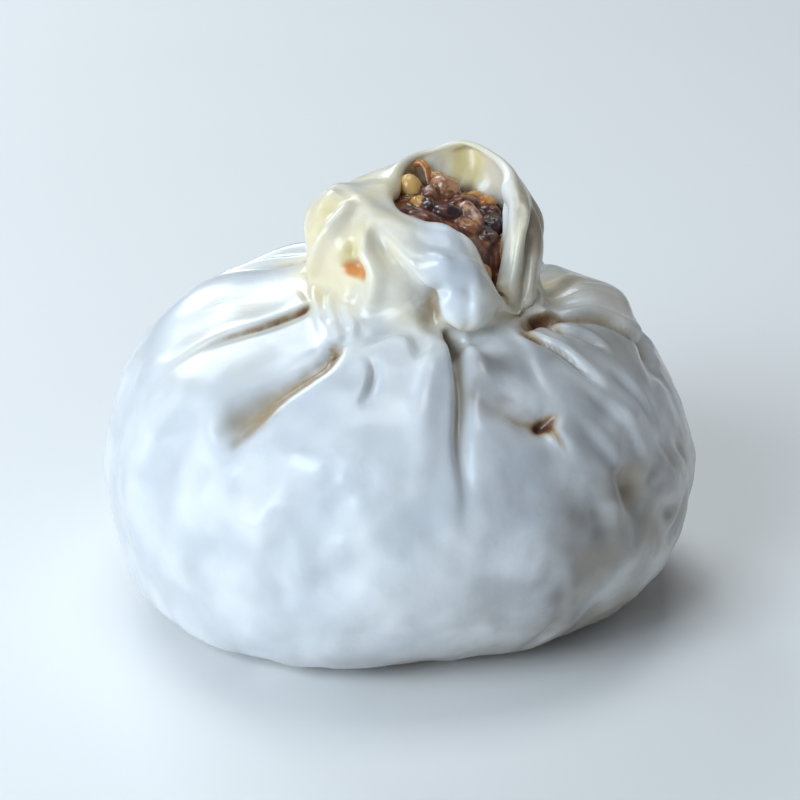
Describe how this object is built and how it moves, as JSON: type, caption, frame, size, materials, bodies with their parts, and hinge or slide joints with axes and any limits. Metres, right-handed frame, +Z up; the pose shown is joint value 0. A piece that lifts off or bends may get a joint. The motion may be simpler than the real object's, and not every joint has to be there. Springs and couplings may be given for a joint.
{
  "type": "shumai dumpling",
  "caption": "Steamed open-topped dumpling: a round pleated dough bag gathered at the neck, with dark filling showing in the mouth of its frill.",
  "frame": {"origin": "on the table, on the flat sole under the middle of the belly", "axes": "+Z up through the frill, -Y towards the front, where the mouth's slit opens, +X to the right seen from the front"},
  "size_m": [0.06, 0.0598, 0.0454],
  "materials": {
    "dough": "moist steamed wheat dough, slightly translucent",
    "filling": "wet, soy-coloured rice, mushroom and onion"
  },
  "bodies": {
    "root": {"wrapper": "dough", "filling": "filling"}
  },
  "joints": []
}
